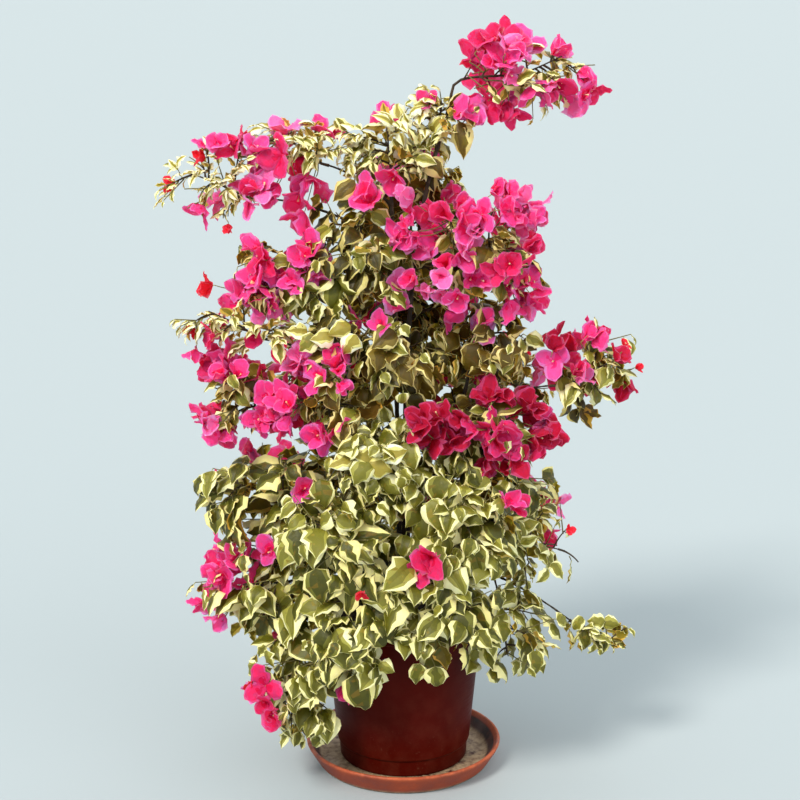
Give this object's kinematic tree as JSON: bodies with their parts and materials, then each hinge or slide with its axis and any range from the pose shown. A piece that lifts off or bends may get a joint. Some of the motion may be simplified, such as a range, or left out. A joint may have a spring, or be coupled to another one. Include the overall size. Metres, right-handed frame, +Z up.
{
  "type": "bougainvillea bush in a pot",
  "caption": "Potted bougainvillea bush: upright woody stems, cream-edged leaves and pink papery bracts, rooted in a plastic pot that stands on a clay saucer.",
  "frame": {"origin": "centre of the saucer's flat underside, where the pot plant stands", "axes": "+Z up along the trunk, -Y towards the front of the bush, +X to the right seen from the front"},
  "size_m": [0.7705, 0.4869, 1.2228],
  "materials": {
    "terracotta": "matte",
    "pot_plastic": "satin",
    "soil": "rough",
    "bark": "rough",
    "leaf": "satin",
    "bract": "matte"
  },
  "bodies": {
    "root": {"saucer": "terracotta", "pot": "pot_plastic", "soil": "soil", "trunk": "bark", "stem_right": "bark", "stem_back": "bark", "stem_crest": "bark", "stem_left": "bark", "stem_top": "bark", "bough_upper_left_near": "bark", "bough_upper_left_far": "bark", "bough_left_thin": "bark", "bough_left_far_bloom": "bark", "bough_right_far_bloom": "bark", "bough_left_skirt": "bark", "bough_left_low": "bark", "bough_right_skirt": "bark", "bough_front_low": "bark", "bough_front_low_left": "bark", "bough_left_over": "bark", "bough_right_low": "bark", "bough_right_spray": "bark", "bough_back_skirt_left": "bark", "bough_back_skirt_right": "bark", "bough_back_low": "bark", "top_bloom": "bract", "arch_leaves": "leaf", "crest_leaves": "leaf", "upper_left_near": "leaf", "upper_left_far": "bract", "mid_bloom": "bract", "upper_column": "leaf", "left_upper_bloom": "bract", "left_thin": "leaf", "mid_column": "leaf", "right_column": "leaf", "left_far_bloom": "bract", "left_near_bloom": "bract", "right_far_bloom": "bract", "right_near_bloom": "bract", "centre_leaves": "leaf", "left_skirt": "leaf", "left_low": "leaf", "front_left": "leaf", "front_right": "leaf", "right_skirt": "leaf", "front_low": "leaf", "front_low_left": "leaf", "left_over": "leaf", "right_low": "leaf", "right_spray": "leaf", "back_top": "leaf", "back_mid": "leaf", "back_left": "leaf", "back_right": "leaf", "back_skirt_left": "leaf", "back_skirt_right": "leaf", "back_low": "leaf"}
  },
  "joints": []
}
